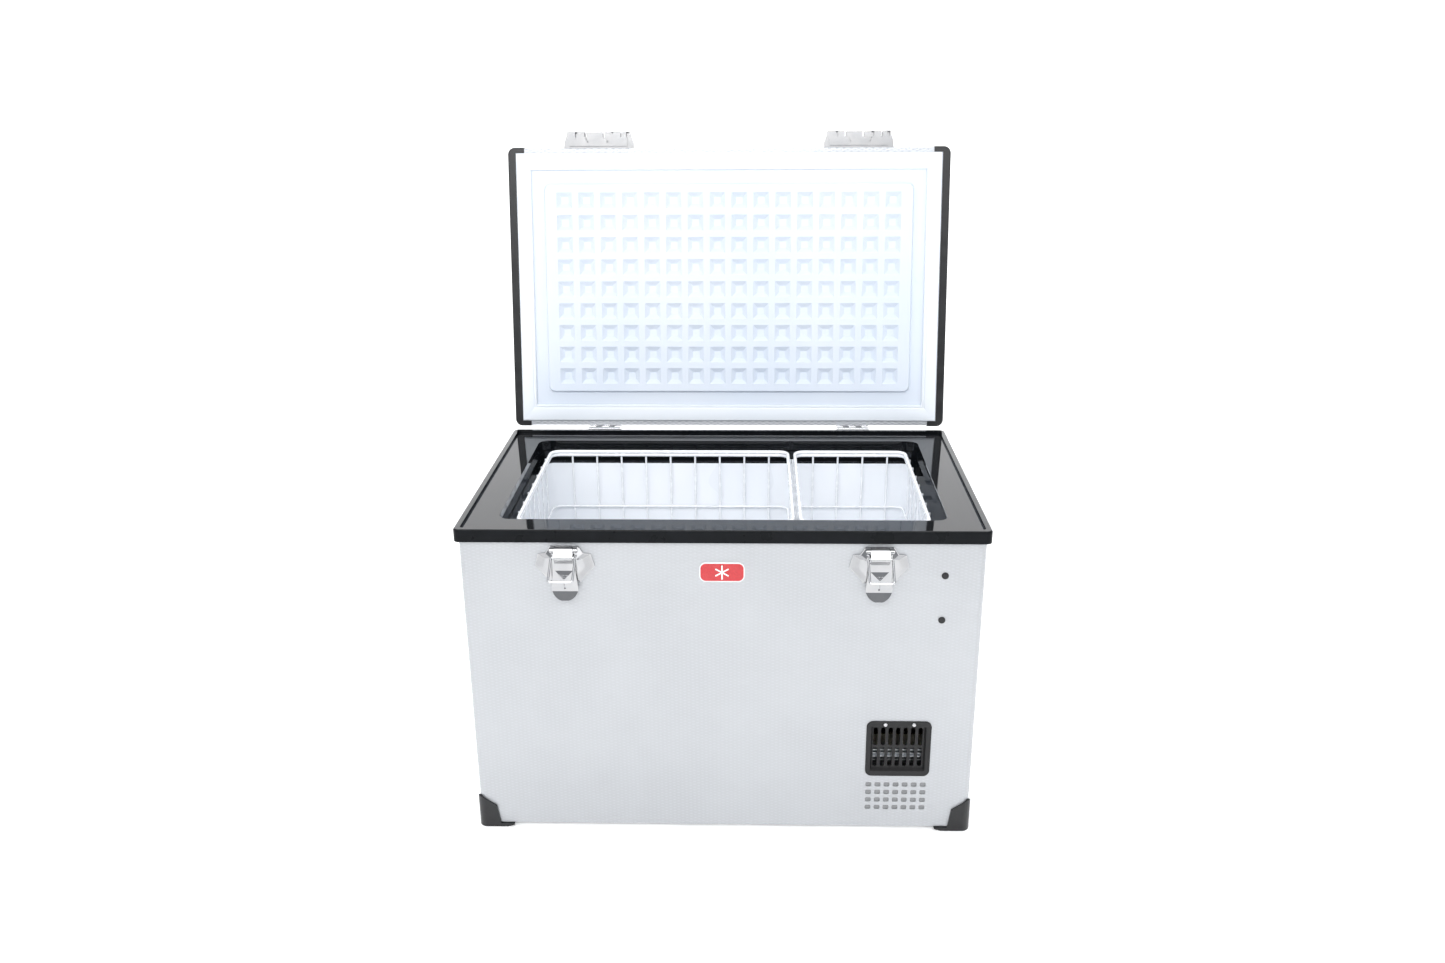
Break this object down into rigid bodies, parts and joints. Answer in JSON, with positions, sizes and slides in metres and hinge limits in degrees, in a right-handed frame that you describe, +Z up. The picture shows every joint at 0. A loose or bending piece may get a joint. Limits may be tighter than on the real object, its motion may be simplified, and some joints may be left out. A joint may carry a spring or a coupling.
{
  "type": "compressor cooler fridge",
  "caption": "Portable chest cooler with a steel case, hinged lid, toggle latches, lift-out wire baskets, carry handles and a fan-cooled compressor bay.",
  "frame": {"origin": "on the floor under the middle of the whole object as stored, with the lid open", "axes": "+X to the right seen from the front, +Y towards the hinges at the back, +Z up"},
  "size_m": [0.731, 0.6232, 0.9174],
  "materials": {
    "steel_skin": "satin",
    "rim_black": "gloss",
    "black_plastic": "satin",
    "white_abs": "satin",
    "gasket_vinyl": "satin",
    "foam": "matte",
    "chrome": "polished",
    "screw_steel": "satin",
    "basket_wire": "gloss",
    "aluminium": "satin",
    "compressor_black": "satin",
    "copper": "satin",
    "rubber": "matte",
    "badge_enamel": "gloss",
    "display": "gloss",
    "button_grey": "satin",
    "control_grey": "matte"
  },
  "bodies": {
    "cabinet": {"front_panel": "steel_skin", "rear_panel": "steel_skin", "side_panel_left": "steel_skin", "side_panel_right": "steel_skin", "base_pan": "steel_skin", "top_rim": "rim_black", "throat_caps": "rim_black", "inner_liner": "white_abs", "insulation_foam": "foam", "vent_grille": "black_plastic", "hole_plugs": "black_plastic", "badge": "badge_enamel", "condenser": "aluminium", "fan_shroud": "black_plastic", "compressor": "compressor_black", "compressor_mounts": "rubber", "control_box": "control_grey", "refrigerant_lines": "copper", "control_bezel": "black_plastic", "control_display": "display", "dc_inlet": "black_plastic", "ac_inlet": "black_plastic", "hinge_pins": "chrome", "screws": "screw_steel", "corner_foot_front_left": "black_plastic", "corner_foot_front_right": "black_plastic", "corner_foot_rear_left": "black_plastic", "corner_foot_rear_right": "black_plastic", "handle_plate_left": "chrome", "hinge_body_leaf_left": "chrome", "latch_base_left": "chrome", "handle_plate_right": "chrome", "hinge_body_leaf_right": "chrome", "latch_base_right": "chrome"},
    "lid": {"lid_shell": "steel_skin", "lid_trim_left": "black_plastic", "lid_trim_right": "black_plastic", "lid_foam": "foam", "lid_inner_panel": "white_abs", "lid_gasket": "gasket_vinyl", "lid_plug": "white_abs", "lid_screws": "screw_steel", "hinge_lid_leaf_left": "chrome", "hinge_lid_leaf_right": "chrome", "keeper_left": "chrome", "keeper_right": "chrome"},
    "lever_left": {"latch_lever_left": "chrome"},
    "bail_left": {"latch_bail_left": "chrome"},
    "handle_left": {"handle_bail_left": "chrome", "handle_grip_left": "rubber"},
    "lever_right": {"latch_lever_right": "chrome"},
    "bail_right": {"latch_bail_right": "chrome"},
    "handle_right": {"handle_bail_right": "chrome", "handle_grip_right": "rubber"},
    "fan": {"fan_blades": "black_plastic"},
    "basket_large": {"basket_large": "basket_wire"},
    "basket_small": {"basket_small": "basket_wire"},
    "button_power": {"button_power": "button_grey"},
    "button_down": {"button_down": "button_grey"},
    "button_up": {"button_up": "button_grey"}
  },
  "joints": [
    {"name": "lid_hinge", "type": "hinge", "parent": "cabinet", "child": "lid", "pos_m": [0, 0.18125, 0.452], "axis": [-1, 0, 0], "range_deg": [-100.3, 0]},
    {"name": "lever_left_lift", "type": "hinge", "parent": "cabinet", "child": "lever_left", "pos_m": [-0.2055, -0.27225, 0.4295], "axis": [-1, 0, 0], "range_deg": [0, 120]},
    {"name": "bail_left_swing", "type": "hinge", "parent": "lever_left", "child": "bail_left", "pos_m": [-0.2055, -0.27775, 0.4215], "axis": [1, 0, 0], "range_deg": [-122, 46]},
    {"name": "handle_left_swing", "type": "hinge", "parent": "cabinet", "child": "handle_left", "pos_m": [-0.356, -0.04725, 0.3345], "axis": [0, 1, 0], "range_deg": [0, 90]},
    {"name": "lever_right_lift", "type": "hinge", "parent": "cabinet", "child": "lever_right", "pos_m": [0.2055, -0.27225, 0.4295], "axis": [-1, 0, 0], "range_deg": [0, 120]},
    {"name": "bail_right_swing", "type": "hinge", "parent": "lever_right", "child": "bail_right", "pos_m": [0.2055, -0.27775, 0.4215], "axis": [1, 0, 0], "range_deg": [-122, 46]},
    {"name": "handle_right_swing", "type": "hinge", "parent": "cabinet", "child": "handle_right", "pos_m": [0.356, -0.04725, 0.3345], "axis": [0, -1, 0], "range_deg": [0, 90]},
    {"name": "fan_spin", "type": "hinge", "parent": "cabinet", "child": "fan", "pos_m": [0.242, -0.20725, 0.0725], "axis": [0, 1, 0], "continuous": true},
    {"name": "basket_large_lift", "type": "slide", "parent": "cabinet", "child": "basket_large", "axis": [0, 0, 1], "range_m": [0, 0.38]},
    {"name": "basket_small_lift", "type": "slide", "parent": "cabinet", "child": "basket_small", "axis": [0, 0, 1], "range_m": [0, 0.22]},
    {"name": "button_power_press", "type": "slide", "parent": "cabinet", "child": "button_power", "axis": [-1, 0, 0], "range_m": [0, 0.001], "stiffness_N_per_m": 400},
    {"name": "button_down_press", "type": "slide", "parent": "cabinet", "child": "button_down", "axis": [-1, 0, 0], "range_m": [0, 0.001], "stiffness_N_per_m": 400},
    {"name": "button_up_press", "type": "slide", "parent": "cabinet", "child": "button_up", "axis": [-1, 0, 0], "range_m": [0, 0.001], "stiffness_N_per_m": 400}
  ]
}
